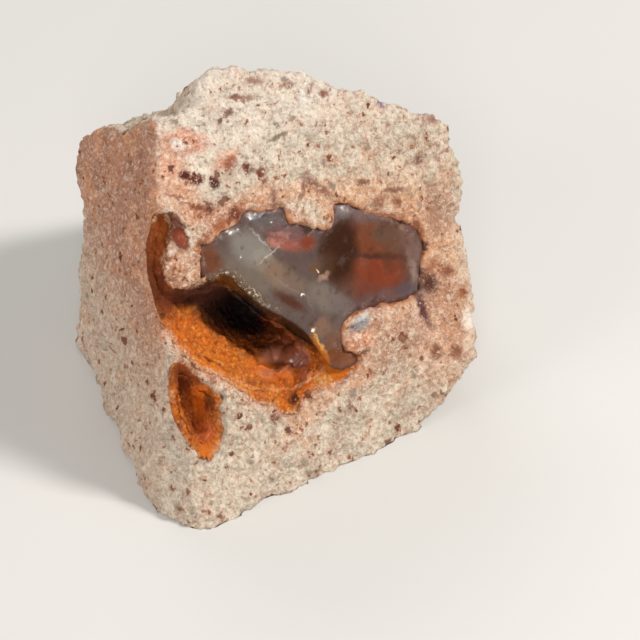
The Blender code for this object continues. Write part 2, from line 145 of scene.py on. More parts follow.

# Dark spots, rusty rims, pale chips and a painted shade under the agate's hook, over the rock's grain.
ROCK_MARKS = patches(
    ((26.1, 10.8), 0.44, 1.8, 4, 0.6, (0.13, 0.05, 0.05), 1.0),
    ((26.5, 13.0), 0.75, 1.4, -12, 0.6, (0.17, 0.092, 0.084), 0.95),
    ((27.5, 12.6), 0.8, 1.25, 20, 0.6, (0.115, 0.04, 0.026), 1.0),
    ((27.6, 15.9), 0.75, 0.42, 30, 0.6, (0.125, 0.046, 0.026), 1.0),
    ((27.7, 17.7), 0.4, 0.9, 10, 0.6, (0.3, 0.095, 0.042), 0.9),
    ((26.2, 6.5), 0.6, 0.75, 10, 0.6, (0.23, 0.08, 0.038), 0.9),
    ((28.1, 5.8), 0.75, 0.5, 0, 0.6, (0.27, 0.1, 0.048), 0.9),
    ((30.4, 10.4), 0.4, 0.55, 0, 0.6, (0.4, 0.15, 0.06), 0.9),
    ((28.1, 14.1), 0.8, 0.6, 10, 0.6, (0.4, 0.15, 0.075), 0.8),
    ((29.6, 18.2), 0.6, 0.9, 0, 0.6, (0.42, 0.215, 0.125), 0.75),
    ((25.3, 19.7), 1.3, 0.3, -22, 0.6, (0.34, 0.12, 0.062), 0.75),
    ((7.2, 24.3), 0.9, 0.38, 25, 0.6, (0.3, 0.09, 0.03), 0.8),
    ((9.1, 24.9), 1.1, 0.38, 8, 0.6, (0.36, 0.11, 0.042), 0.8),
    ((11.0, 25.1), 0.55, 0.5, 20, 0.6, (0.22, 0.062, 0.026), 0.9),
    ((6.9, 23.1), 0.4, 0.8, 0, 0.6, (0.4, 0.13, 0.035), 0.75),
    ((29.4, 13.0), 0.55, 0.4, -20, 0.6, (0.32, 0.12, 0.06), 0.9),
    ((26.0, 22.0), 1.2, 0.22, -16, 0.7, (0.26, 0.12, 0.075), 0.9),
    ((23.3, 23.7), 0.7, 0.28, -25, 0.6, (0.22, 0.085, 0.048), 0.95),
    ((26.1, 20.7), 0.45, 0.45, 0, 0.6, (0.33, 0.13, 0.078), 0.9),
    ((24.4, 21.4), 0.4, 0.6, 0, 0.6, (0.35, 0.14, 0.078), 0.9),
    ((19.0, 24.9), 0.3, 1.7, 38, 0.9, (0.21, 0.08, 0.06), 0.85),
    ((17.9, 25.5), 0.22, 1.2, -30, 0.9, (0.24, 0.09, 0.07), 0.8),
    ((14.6, 25.2), 0.25, 1.1, -14, 0.9, (0.2, 0.06, 0.05), 0.85),
    ((15.1, 24.5), 0.22, 0.9, 30, 0.9, (0.24, 0.09, 0.07), 0.7),
    ((27.1, 29.6), 0.5, 0.4, 0, 0.5, (0.2, 0.1, 0.26), 0.9),
    ((31.6, 26.5), 0.8, 0.4, -20, 0.7, (0.3, 0.11, 0.08), 0.8),
    ((20.3, 33.1), 0.9, 0.3, 25, 0.8, (0.26, 0.09, 0.06), 0.8),
    ((15.4, 35.6), 0.9, 0.35, -15, 0.8, (0.3, 0.12, 0.08), 0.8),
    ((19.6, 32.8), 0.35, 0.6, -20, 0.6, (0.92, 0.86, 0.8), 0.8),
    ((7.1, 30.1), 0.55, 0.38, -25, 0.4, (0.1, 0.02, 0.014), 1.0),
    ((8.0, 29.4), 0.8, 0.42, -25, 0.4, (0.13, 0.026, 0.014), 1.0),
    ((9.6, 28.5), 0.45, 0.55, 20, 0.4, (0.1, 0.024, 0.016), 1.0),
    ((12.7, 28.7), 0.42, 0.5, 0, 0.4, (0.17, 0.04, 0.02), 1.0),
    ((13.9, 28.0), 0.6, 0.36, -20, 0.4, (0.22, 0.06, 0.024), 0.95),
    ((13.2, 34.9), 0.55, 0.3, -15, 0.5, (0.2, 0.08, 0.055), 0.95),
    ((11.4, 29.6), 0.5, 0.7, -15, 0.5, (0.36, 0.1, 0.05), 0.85),
    ((10.7, 25.4), 0.55, 0.6, 0, 0.5, (0.2, 0.055, 0.024), 0.95),
    ((7.6, 27.0), 0.9, 0.3, -28, 0.5, (0.26, 0.07, 0.032), 0.9),
    ((8.6, 26.4), 0.5, 0.32, -20, 0.5, (0.2, 0.05, 0.026), 0.9),
    ((5.9, 28.6), 1.1, 0.14, -30, 0.6, (0.3, 0.115, 0.07), 0.8),
    ((6.9, 27.6), 1.2, 0.12, -30, 0.6, (0.28, 0.105, 0.065), 0.8),
    # Painted shade on the rock's edge beneath the agate's hook.
    ((18.7, 9.1), 1.3, 0.22, 14, 0.6, (0.2, 0.08, 0.045), 0.85),
    ((12.2, 33.9), 0.5, 0.35, 10, 0.6, (0.24, 0.1, 0.075), 0.9),
    ((18.4, 34.2), 0.9, 0.3, -12, 0.6, (0.3, 0.12, 0.08), 0.8),
    ((13.9, 34.6), 1.3, 0.25, -18, 0.7, (0.34, 0.16, 0.11), 0.8),
    ((21.9, 32.2), 0.5, 0.3, -30, 0.6, (0.26, 0.075, 0.05), 0.9),
    ((29.2, 23.6), 0.5, 0.4, 0, 0.6, (0.22, 0.09, 0.08), 0.9),
    ((16.4, 5.2), 0.3, 0.7, 10, 0.6, (0.28, 0.11, 0.08), 0.8),
    ((9.4, 6.8), 0.35, 0.5, 0, 0.6, (0.26, 0.09, 0.06), 0.9),
    ((19.6, 11.8), 0.9, 0.55, 15, 0.5, (0.26, 0.27, 0.3), 0.85),
    ((20.1, 12.4), 0.8, 0.22, 18, 0.6, (0.72, 0.7, 0.69), 0.8),
    ((30.3, 8.0), 0.7, 1.0, 0, 0.5, (0.97, 0.84, 0.7), 0.95),
    ((16.4, 30.2), 0.9, 0.22, 4, 0.5, (0.26, 0.21, 0.14), 0.95),
    ((16.6, 31.3), 0.45, 0.2, -50, 0.5, (0.3, 0.24, 0.17), 0.9),
    ((11.6, 6.9), 0.45, 0.35, 0, 0.6, (0.3, 0.07, 0.01), 0.9),
    ((11.6, 7.6), 0.65, 0.4, 12, 0.6, (0.06, 0.014, 0.006), 0.95),
    ((13.0, 7.4), 0.35, 0.25, 0, 0.6, (0.16, 0.04, 0.015), 0.9),
)

# Bands, clouds and red-brown depths of the agate.
AGATE_PATCHES = patches(
    ((22.6, 17.0), 4.0, 4.2, -20, 0.5, (0.117, 0.04, 0.02), 1.0),
    ((10.4, 19.9), 3.2, 1.2, -48, 0.5, (0.156, 0.119, 0.092), 0.9),
    ((21.9, 21.2), 2.9, 0.8, -25, 0.6, (0.15, 0.098, 0.088), 0.9),
    ((20.4, 21.8), 0.9, 0.7, -20, 0.5, (0.225, 0.175, 0.17), 0.9),
    ((22.1, 18.8), 2.0, 1.4, -27, 0.6, (0.156, 0.04, 0.013), 0.9),
    ((25.0, 18.0), 1.3, 1.5, -27, 0.6, (0.121, 0.054, 0.028), 0.85),
    ((22.7, 15.4), 2.7, 1.8, -32, 0.5, (0.187, 0.033, 0.009), 0.95),
    ((21.5, 14.2), 1.4, 0.8, -30, 0.6, (0.14, 0.037, 0.02), 0.85),
    ((21.9, 13.1), 2.6, 0.7, -8, 0.7, (0.121, 0.056, 0.051), 0.9),
    ((26.7, 16.2), 0.7, 2.4, 12, 0.7, (0.172, 0.09, 0.073), 0.8),
    ((19.5, 18.6), 1.8, 3.0, -22, 0.35, (0.036, 0.008, 0.0), 1.0),
    ((18.0, 17.9), 0.8, 1.2, -30, 0.6, (0.07, 0.029, 0.012), 0.8),
    ((23.0, 16.9), 2.7, 0.26, -24, 0.8, (0.045, 0.015, 0.008), 0.85),
    ((24.3, 18.4), 1.2, 0.6, -20, 0.6, (0.11, 0.058, 0.038), 0.85),
    ((23.9, 16.0), 0.5, 1.0, -10, 0.7, (0.09, 0.026, 0.01), 0.7),
    ((15.7, 19.4), 2.0, 1.0, -35, 0.6, (0.098, 0.061, 0.053), 0.9),
    ((14.0, 23.0), 2.2, 0.8, -25, 0.6, (0.133, 0.094, 0.089), 0.9),
    ((12.9, 24.0), 1.2, 0.6, -10, 0.6, (0.109, 0.101, 0.096), 0.9),
    ((15.0, 21.4), 2.1, 0.9, -30, 0.5, (0.18, 0.07, 0.06), 0.9),
    ((16.9, 20.4), 0.8, 0.65, -10, 0.6, (0.205, 0.034, 0.008), 0.95),
    ((11.2, 22.0), 2.1, 1.25, -50, 0.4, (0.211, 0.187, 0.162), 0.95),
    ((12.2, 20.7), 1.2, 0.9, -50, 0.5, (0.257, 0.227, 0.182), 0.9),
    ((13.2, 18.8), 1.9, 1.0, -50, 0.5, (0.203, 0.13, 0.086), 0.95),
    ((14.5, 17.4), 1.3, 0.9, -48, 0.5, (0.168, 0.112, 0.083), 0.9),
    ((17.1, 15.2), 1.9, 1.15, -46, 0.4, (0.168, 0.13, 0.106), 0.95),
    ((18.3, 14.0), 1.4, 0.8, -42, 0.6, (0.144, 0.108, 0.099), 0.9),
    ((16.0, 12.9), 0.9, 0.9, -40, 0.5, (0.203, 0.112, 0.073), 0.9),
    ((7.3, 22.3), 1.0, 1.6, 10, 0.6, (0.148, 0.045, 0.017), 0.95),
    ((13.6, 16.2), 1.7, 0.4, -48, 0.6, (0.074, 0.02, 0.008), 0.9),
    ((17.1, 10.7), 1.2, 1.5, 8, 0.5, (0.156, 0.063, 0.03), 0.95),
    ((16.4, 9.8), 0.9, 0.9, 0, 0.6, (0.156, 0.043, 0.012), 0.9),
)

# Sharper things on the agate: streaks, cracks, and bright points that are painted glints.
AGATE_MARKS_AND_PAINTED_GLINTS = patches(
    ((14.8, 21.0), 1.5, 0.5, -34, 0.6, (0.3, 0.078, 0.048), 0.95),
    ((13.7, 21.5), 0.8, 0.34, -34, 0.6, (0.42, 0.17, 0.125), 0.9),
    ((14.6, 22.0), 1.3, 0.16, -24, 0.8, (0.34, 0.15, 0.13), 0.8),
    ((15.6, 21.3), 0.8, 0.14, -40, 0.8, (0.14, 0.06, 0.055), 0.8),
    ((26.2, 14.2), 0.34, 1.6, 4, 0.8, (0.25, 0.165, 0.13), 0.85),
    ((24.9, 13.0), 1.0, 0.6, -10, 0.6, (0.09, 0.056, 0.066), 0.9),
    ((21.6, 13.3), 0.55, 0.14, 20, 0.6, (0.06, 0.022, 0.016), 0.8),
    ((18.0, 9.1), 1.3, 0.6, 4, 0.5, (0.19, 0.062, 0.02), 0.95),
    ((15.3, 10.6), 0.5, 1.8, 14, 0.4, (0.44, 0.11, 0.004), 1.0),
    ((15.4, 11.7), 0.12, 1.2, 18, 0.7, (0.66, 0.34, 0.07), 0.9),
    ((12.5, 22.3), 0.08, 1.3, 29, 0.9, (0.5, 0.46, 0.43), 0.6),
    ((13.0, 20.8), 1.1, 0.08, 17, 0.9, (0.55, 0.5, 0.46), 0.6),
    ((13.7, 17.7), 0.06, 1.9, 41, 0.9, (0.34, 0.27, 0.23), 0.25),
    ((15.4, 15.5), 0.08, 1.4, 10, 0.9, (0.3, 0.25, 0.23), 0.25),
    ((17.5, 17.0), 0.6, 0.26, 12, 0.6, (0.36, 0.215, 0.155), 0.85),
    ((16.9, 18.0), 0.55, 0.45, 0, 0.6, (0.13, 0.062, 0.022), 0.8),
    # Painted glints: near-white highlights on small ridges of the break.
    ((15.1, 12.9), 0.2, 0.17, 0, 0.4, (1.0, 0.94, 0.8), 1.0),
    ((15.0, 16.2), 0.14, 0.14, 0, 0.5, (0.95, 0.9, 0.84), 0.9),
    ((17.1, 17.6), 0.12, 0.12, 0, 0.5, (0.85, 0.74, 0.6), 0.9),
    ((13.9, 23.3), 0.12, 0.1, 0, 0.5, (0.9, 0.82, 0.72), 0.8),
    ((10.2, 21.6), 0.09, 0.09, 0, 0.5, (0.9, 0.82, 0.72), 0.8),
)

# Ovals that only mark an area of the agate: its streaked cloud, and its chipped lower lip.
STREAKED_CLOUD = Patch((15.4, 22.0), 3.0, 1.3, -28, 0.6, None, 1.0)
CHIPPED_LIP = Patch((9.8, 19.9), 4.0, 1.6, -50, 0.5, None, 1.0)

# The hollow's crust: stains under its grit, shades and painted light over its bubbles, and fine marks
# on both.
CRUST_STAINS = patches(
    ((3.3, 17.4), 3.6, 1.9, -60, 0.5, (0.64, 0.14, 0.01), 0.8),
    ((5.6, 14.0), 2.2, 1.3, -50, 0.5, (0.72, 0.19, 0.016), 0.8),
    ((8.4, 10.6), 3.4, 1.3, -38, 0.5, (0.62, 0.17, 0.028), 0.8),
    ((12.6, 9.0), 2.6, 0.9, -8, 0.5, (0.56, 0.12, 0.008), 0.85),
    ((8.7, 12.5), 0.6, 0.45, 0, 0.6, (0.78, 0.19, 0.008), 0.9),
    ((15.6, 10.2), 0.9, 2.1, 12, 0.4, (0.5, 0.115, 0.004), 0.95),
    ((15.2, 11.9), 0.35, 0.9, 0, 0.6, (0.45, 0.19, 0.035), 0.9),
    ((16.6, 8.2), 1.8, 0.8, -4, 0.5, (0.62, 0.15, 0.003), 0.9),
    ((14.6, 8.4), 0.9, 0.4, -20, 0.6, (0.66, 0.34, 0.1), 0.7),
)
CRUST_SHADES_AND_PAINTED_LIGHT = patches(
    ((11.4, 12.2), 3.3, 1.8, -28, 0.4, (0.2, 0.042, 0.008), 0.55),
    ((9.0, 12.1), 1.3, 0.7, -30, 0.6, (0.6, 0.145, 0.012), 0.9),
    # Painted highlights on the bubbles, which lie in shade.
    ((10.4, 12.4), 1.0, 0.6, -30, 0.5, (0.56, 0.215, 0.12), 0.85),
    ((13.1, 11.0), 0.8, 0.75, 0, 0.5, (0.34, 0.15, 0.115), 0.85),
    ((13.0, 9.6), 0.6, 0.45, 0, 0.5, (0.4, 0.13, 0.07), 0.8),
    ((11.0, 10.2), 1.8, 0.45, -8, 0.6, (0.54, 0.125, 0.012), 0.85),
    # Painted shade: near black in the deep, and dark under the nub, in the notch and under the agate's
    # overhang, where the crust's own olive brown shows too.
    ((7.6, 17.9), 4.5, 2.1, -42, 0.4, (0.04, 0.008, 0.001), 0.97),
    ((8.9, 16.8), 3.0, 1.5, -45, 0.4, (0.01, 0.002, 0.0), 1.0),
    ((11.2, 14.9), 1.3, 0.5, -45, 0.6, (0.14, 0.022, 0.003), 0.9),
    ((4.6, 20.5), 2.6, 1.0, -10, 0.5, (0.06, 0.01, 0.002), 0.9),
    ((1.9, 22.6), 1.5, 3.4, 6, 0.4, (0.125, 0.02, 0.002), 0.9),
    ((3.1, 26.4), 1.7, 2.6, -10, 0.5, (0.21, 0.042, 0.004), 0.85),
    ((8.8, 20.0), 1.7, 0.7, -45, 0.5, (0.16, 0.045, 0.001), 0.95),
    ((11.3, 16.7), 2.8, 0.55, -50, 0.5, (0.08, 0.022, 0.002), 0.95),
    ((13.6, 13.4), 2.9, 0.75, -52, 0.4, (0.078, 0.02, 0.001), 1.0),
    ((15.9, 9.9), 0.75, 2.0, 14, 0.4, (0.52, 0.125, 0.003), 1.0),
    # A painted highlight: the bright golden line along the lip under the agate.
    ((12.5, 16.1), 2.6, 0.1, -50, 0.7, (0.3, 0.12, 0.022), 0.8),
)
CRUST_MARKS = patches(
    ((11.5, 7.9), 0.65, 0.42, 10, 0.5, (0.07, 0.014, 0.004), 1.0),
    ((12.9, 7.9), 0.5, 0.26, 0, 0.5, (0.16, 0.045, 0.02), 0.95),
    ((7.3, 10.9), 1.5, 0.13, -44, 0.7, (0.74, 0.32, 0.12), 0.85),
    ((9.9, 9.4), 1.8, 0.12, -20, 0.7, (0.74, 0.3, 0.11), 0.8),
    ((12.8, 8.9), 1.5, 0.14, 4, 0.7, (0.76, 0.4, 0.22), 0.85),
    ((14.6, 9.2), 0.6, 0.35, 20, 0.6, (0.6, 0.27, 0.09), 0.8),
)

# The small pit's crust: its colours painted lighter where the pit lies in shade, and painted shade
# darkening its upper end and its sides.
PIT_SHADES_AND_PAINTED_LIGHT = patches(
    ((2.3, 13.9), 1.6, 1.7, 0, 0.5, (0.2, 0.038, 0.003), 0.95),
    ((2.7, 11.2), 1.2, 1.3, 0, 0.6, (0.66, 0.14, 0.004), 0.85),
    ((3.7, 10.6), 0.5, 1.0, 0, 0.6, (0.16, 0.03, 0.006), 0.85),
    ((1.5, 11.0), 0.5, 2.4, -4, 0.6, (0.24, 0.05, 0.006), 0.75),
    ((2.8, 9.0), 1.0, 1.2, 10, 0.6, (0.42, 0.09, 0.018), 0.35),
    ((2.6, 8.3), 0.9, 0.9, 10, 0.6, (0.66, 0.16, 0.045), 0.8),
    ((2.3, 6.6), 1.1, 0.8, 0, 0.6, (0.64, 0.16, 0.012), 0.9),
)

# A patch paints every depth under its oval.
ANY_DEPTH = 1.0e5

# The way that the rock's smears run on the window face, and how far they are drawn out.
BEDDING_TURN = math.radians(34.0)
BEDDING_STRETCH = 2.2

# Shades of the rock, beside the ones in the panel.
LEFT_STREAK = (0.27, 0.085, 0.038)
LEFT_PALE = (0.72, 0.60, 0.47)
CROWN_PAINTED_LIGHT = (1.00, 0.92, 0.82)
RIM_RUST = (0.78, 0.32, 0.13)
CRUST_BLEED = (0.50, 0.14, 0.022)
MOTTLE_BROWN, MOTTLE_PALE = (0.42, 0.20, 0.115), (0.86, 0.73, 0.57)
SMEAR_BROWN, SMEAR_PALE = (0.47, 0.21, 0.145), (0.92, 0.82, 0.69)
SAND_BROWN, SAND_PALE = (0.38, 0.23, 0.145), (0.95, 0.83, 0.68)
GRAIN_BROWN, GRAIN_PALE = (0.25, 0.135, 0.085), (0.96, 0.88, 0.77)
SEAM_RUST, SEAM_DARK = (0.56, 0.20, 0.080), (0.19, 0.055, 0.030)
SPECK_RED, SPECK_GREY, SPECK_HALO = (0.26, 0.085, 0.040), (0.30, 0.27, 0.21), (0.58, 0.24, 0.12)

# Shades of the agate.
WISP_DARK, WISP_PALE = (0.045, 0.018, 0.010), (0.34, 0.27, 0.23)
SKIN_BROWN, SKIN_PURPLE = (0.115, 0.040, 0.022), (0.115, 0.062, 0.060)
FLECK_DARK, FLECK_PALE = (0.062, 0.020, 0.016), (0.34, 0.215, 0.165)
CLOUD_DARK, CLOUD_PINK = (0.100, 0.062, 0.068), (0.42, 0.21, 0.165)
LIP_BROWN, LIP_CRUMBS = (0.13, 0.062, 0.018), (0.80, 0.69, 0.51)
AGATE_IOR = 1.54
AGATE_CLEARNESS = 0.12
AGATE_ABSORPTION = 420.0

# Shades of the crusts.
CRUST_DEEP, CRUST_BRIGHT = (0.36, 0.074, 0.004), (0.92, 0.33, 0.022)
GRIT_PALE, BUBBLE_PINK = (0.95, 0.50, 0.16), (0.50, 0.190, 0.120)
FRINGE_BROWN, FRINGE_PALE = (0.50, 0.210, 0.085), (0.84, 0.560, 0.370)

# The floor's second shade.
FLOOR_SHADE = (0.52, 0.51, 0.50)

# Where each direction of a shake is read, so that the three don't agree.
SHAKE_SHIFTS = (Vector((11.3, 0.0, 4.7)), Vector((2.9, 17.1, 0.0)), Vector((0.0, 6.1, 23.5)))

# The rock has no relief nearer to a filling than the first, and its full relief past the
# second.
SEAT_BAND = (0.35, 0.75)

# The rock's edge is ragged where it is nearer to a filling than this.
RAGGED_REACH = 1.6

# A point that starts nearer to the base than the first moves only sideways, and one that
# ends nearer than the second is put on the base.
BASE_STILL, BASE_FLAT = 0.3, 0.15

# The glossy bubbles in the hollow: their middle as seen on the window face, and their reach.
BUBBLE_FIELD = (11.6, 12.0)
BUBBLE_REACH = 3.4

# How far apart the bubbles lie, and their half width as a share of that.
BUBBLE_APART, BUBBLE_ROUND = 1.6, 0.75

# A place where the block is fuller: its middle, reach and height.
Bulge = namedtuple("Bulge", "middle reach height")

BULGES = (
    Bulge((-2.0, -1.0, 32.6), 9.0, 0.65),
    Bulge((-10.9, -8.9, 20.0), 2.2, 0.55),
    Bulge((12.5, -16.0, 3.5), 7.0, 0.45),
    Bulge((-2.9, -2.0, 32.6), 1.7, 0.35),
    Bulge((-5.0, -2.5, 32.2), 1.4, 0.35),
)

# The camera looks slantwise at the window face. So a place is seen this far across and up
# it, for each millimetre that the place lies out of the face.
SEEN_SHIFT = (0.50, -0.356, 0.0)


def length_property(name, description, default, least=0.0):
    """A length in the panel, in metres."""
    return bpy.props.FloatProperty(
        name=name, description=description, default=default, min=least, precision=5, unit="LENGTH"
    )


class StoneSizes(bpy.types.PropertyGroup):
    """Grids and relief of the grown surfaces"""

    rock_grid: length_property("Rock grid", "Spacing of the points on the rhyolite", 0.00028, 0.0001)
    rock_lumps: length_property("Rock lumps", "Height of the lumps about a millimetre across", 0.00026)
    rock_grain: length_property("Rock grain", "Height of the sandy grain on the rhyolite", 0.00024)
    agate_grid: length_property("Agate grid", "Spacing of the points on the agate", 0.00019, 0.0001)
    agate_break: length_property("Agate break", "Depth of the scoops in the agate's face", 0.00030)
    crust_grid: length_property("Crust grid", "Spacing of the points on the crusts", 0.00015, 0.0001)
    bubble_height: length_property("Bubble height", "Height of the hollow's glossy bubbles", 0.00070)
    seat_gap: length_property("Seat gap", "How far each filling grows to meet the rock", 0.00055)


def colour_property(name, description, default):
    """A colour in the panel."""
    return bpy.props.FloatVectorProperty(
        name=name, description=description, default=default, min=0.0, max=1.0, size=3, subtype="COLOR"
    )


class StoneColours(bpy.types.PropertyGroup):
    """Main colours of the stone"""

    rock_cream: colour_property("Rock cream", "Palest rhyolite", (0.76, 0.63, 0.49))
    rock_grey: colour_property("Rock grey", "Greenish grey rhyolite", (0.57, 0.47, 0.36))
    rock_salmon: colour_property("Rock salmon", "Iron-stained rhyolite", (0.74, 0.32, 0.15))
    rock_speck: colour_property("Rock speck", "Dark iron specks", (0.13, 0.038, 0.020))
    left_stain: colour_property("Left stain", "Brown stain of the left face", (0.44, 0.125, 0.050))
    agate: colour_property("Agate", "Body of the agate", (0.105, 0.070, 0.058))
    agate_depth: colour_property("Agate depth", "Tint of light inside the agate", (0.72, 0.45, 0.28))
    crust_orange: colour_property("Crust orange", "Brightest crust", (0.68, 0.165, 0.012))
    crust_brown: colour_property("Crust brown", "Darkest crust", (0.075, 0.014, 0.002))
    bubble_brown: colour_property("Bubble brown", "Glossy bubbles", (0.24, 0.062, 0.024))
    floor: colour_property("Floor", "Pale studio floor", (0.62, 0.61, 0.59))


class Wire:
    """A socket's value in a material, on which Python's operators add Math nodes."""

    def __init__(self, finish, socket):
        self.finish = finish
        self.socket = socket

    def _math(self, operation, *values):
        return self.finish.add("ShaderNodeMath", {"operation": operation}, enumerate(values))[0]

    def __add__(self, other):
        return self._math("ADD", self, other)

    __radd__ = __add__

    def __sub__(self, other):
        return self._math("SUBTRACT", self, other)

    def __rsub__(self, other):
        return self._math("SUBTRACT", other, self)

    def __mul__(self, other):
        return self._math("MULTIPLY", self, other)

    __rmul__ = __mul__

    def at_most(self, other):
        return self._math("MINIMUM", self, other)

    def at_least(self, other):
        return self._math("MAXIMUM", self, other)


class Outputs:
    """A node that was added, with its outputs as wires."""

    def __init__(self, finish, node):
        self.finish = finish
        self.node = node

    def __getitem__(self, name):
        return Wire(self.finish, self.node.outputs[name])


class Finish:
    """One material, built node by node."""

    def __init__(self, name):
        self.material = bpy.data.materials.new(name)
        self.material.use_nodes = True
        self.tree = self.material.node_tree
        self.tree.nodes.clear()
        self.output = self.add("ShaderNodeOutputMaterial")
        self.in_mm = self.scaled(self.add("ShaderNodeTexCoord")["Object"], 1.0 / MM)

    def add(self, kind, settings=None, sockets=()):
        """Adds a node: its settings come first, and then its sockets' values or links."""
        node = self.tree.nodes.new(kind)
        for name, value in (settings or {}).items():
            setattr(node, name, value)
        pairs = sockets.items() if isinstance(sockets, dict) else sockets
        for name, value in pairs:
            if isinstance(value, Wire):
                self.tree.links.new(value.socket, node.inputs[name])
            else:
                node.inputs[name].default_value = value
        return Outputs(self, node)

    def vector(self, operation, first, second):
        """A sum or a difference of two vectors."""
        settings = {"operation": operation}
        return self.add("ShaderNodeVectorMath", settings, {0: first, 1: second})["Vector"]

    def scaled(self, vector, scale):
        settings = {"operation": "SCALE"}
        return self.add("ShaderNodeVectorMath", settings, {0: vector, "Scale": scale})["Vector"]

    def axes(self, vector):
        """The vector's X, Y and Z, each as a number."""
        return self.add("ShaderNodeSeparateXYZ", {}, {0: vector})

    def noise(self, size, detail=2.0, roughness=0.5, vector=None, shift=0.0):
        """Cloudy noise from 0 to 1, with lumps of the given size in millimetres."""
        sockets = {
            "Vector": vector or self.in_mm,
            "W": shift,
            "Scale": 1.0 / size,
            "Detail": detail,
            "Roughness": roughness,
        }
        return self.add("ShaderNodeTexNoise", {"noise_dimensions": "4D"}, sockets)["Fac"]

    def cells(self, size, vector=None):
        """Distance to the nearest of scattered points, and a random colour for each point."""
        sockets = {"Vector": vector or self.in_mm, "Scale": 1.0 / size}
        return self.add("ShaderNodeTexVoronoi", {}, sockets)

    def rise(self, value, low, high, top=1.0):
        """A smooth step from 0 at low to the top at high, which may be the smaller of the two."""
        settings = {"interpolation_type": "SMOOTHSTEP"}
        sockets = {"Value": value, "From Min": low, "From Max": high, "To Max": top}
        return self.add("ShaderNodeMapRange", settings, sockets)["Result"]

    def mix(self, factor, first, second):
        """A colour between two colours, each a wire or three numbers."""
        colours = [each if isinstance(each, Wire) else (*each, 1.0) for each in (first, second)]
        sockets = {0: factor, 6: colours[0], 7: colours[1]}
        return self.add("ShaderNodeMix", {"data_type": "RGBA"}, sockets)[2]

    def veil(self, colour, shade, value, low, high, *strengths):
        """Lays a shade over a colour as a value goes from low to high, as strong as all say."""
        share = self.rise(value, low, high)
        for strength in strengths:
            share = share * strength
        return self.mix(share, colour, shade)

    def attribute(self, name):
        """The number that the piece keeps under this name at each of its points."""
        return self.add("ShaderNodeAttribute", {"attribute_name": name})["Fac"]

    def wavy(self, size, amount):
        """The place in millimetres, pushed about by noise."""
        settings = {"noise_dimensions": "3D"}
        sockets = {"Vector": self.in_mm, "Scale": 1.0 / size, "Detail": 4.0, "Roughness": 0.62}
        pushed = self.add("ShaderNodeTexNoise", settings, sockets)["Color"]
        centred = self.vector("SUBTRACT", pushed, (0.5, 0.5, 0.5))
        return self.vector("ADD", self.in_mm, self.scaled(centred, amount))

    def window_place(self, vector):
        """The place on the window face: right across it, up it, and out of it."""
        turn = Euler((WINDOW_LEAN - math.pi / 2, 0.0, 0.0))
        start = turn.to_matrix() @ TOE
        sockets = {"Vector": vector, "Location": -start, "Rotation": turn}
        return self.add("ShaderNodeMapping", {"vector_type": "POINT"}, sockets)["Vector"]

    def seen_place(self, vector):
        """The place on the window face that hides this place from the camera's first spot."""
        window = self.window_place(vector)
        out = self.axes(window)["Z"]
        return self.vector("ADD", window, self.scaled(SEEN_SHIFT, out))

    def turned(self, vector, middle, turn, stretch):
        """The place on a pattern that is stretched, then turned, and then moved to a middle."""
        sockets = {
            "Vector": vector,
            "Location": middle,
            "Rotation": Euler((0.0, 0.0, turn)),
            "Scale": stretch,
        }
        return self.add("ShaderNodeMapping", {"vector_type": "TEXTURE"}, sockets)["Vector"]

    def patch(self, window, patch):
        """The patch's strength inside the soft oval, and 0 outside it."""
        reach = 1.0 + patch.soft
        size = (patch.across * reach, patch.along * reach, ANY_DEPTH)
        local = self.turned(window, (*patch.middle, 0.0), math.radians(patch.turn), size)
        ball = self.add("ShaderNodeTexGradient", {"gradient_type": "SPHERICAL"}, {"Vector": local})
        return self.rise(ball["Fac"], 0.0, 2.0 * patch.soft / reach, patch.strength)

    def paint(self, colour, window, patches):
        """Lays the patches over a colour, one after another."""
        for patch in patches:
            colour = self.mix(self.patch(window, patch), colour, patch.colour)
        return colour

    def bump(self, height, strength, distance):
        """Low relief with no geometry, whose full height is the distance in millimetres."""
        sockets = {"Height": height, "Strength": strength, "Distance": distance * MM}
        return self.add("ShaderNodeBump", {}, sockets)["Normal"]

    def show(self, made, end="Surface"):
        """Links a shader to one of the material's ends."""
        self.tree.links.new(made.node.outputs[0], self.output.node.inputs[end])

    def principled(self, **sockets):
        """The main shader, with its sockets named in words."""
        named = {name.replace("_", " ").title(): value for name, value in sockets.items()}
        named = {name.replace("Ior", "IOR"): value for name, value in named.items()}
        self.show(self.add("ShaderNodeBsdfPrincipled", {}, named))


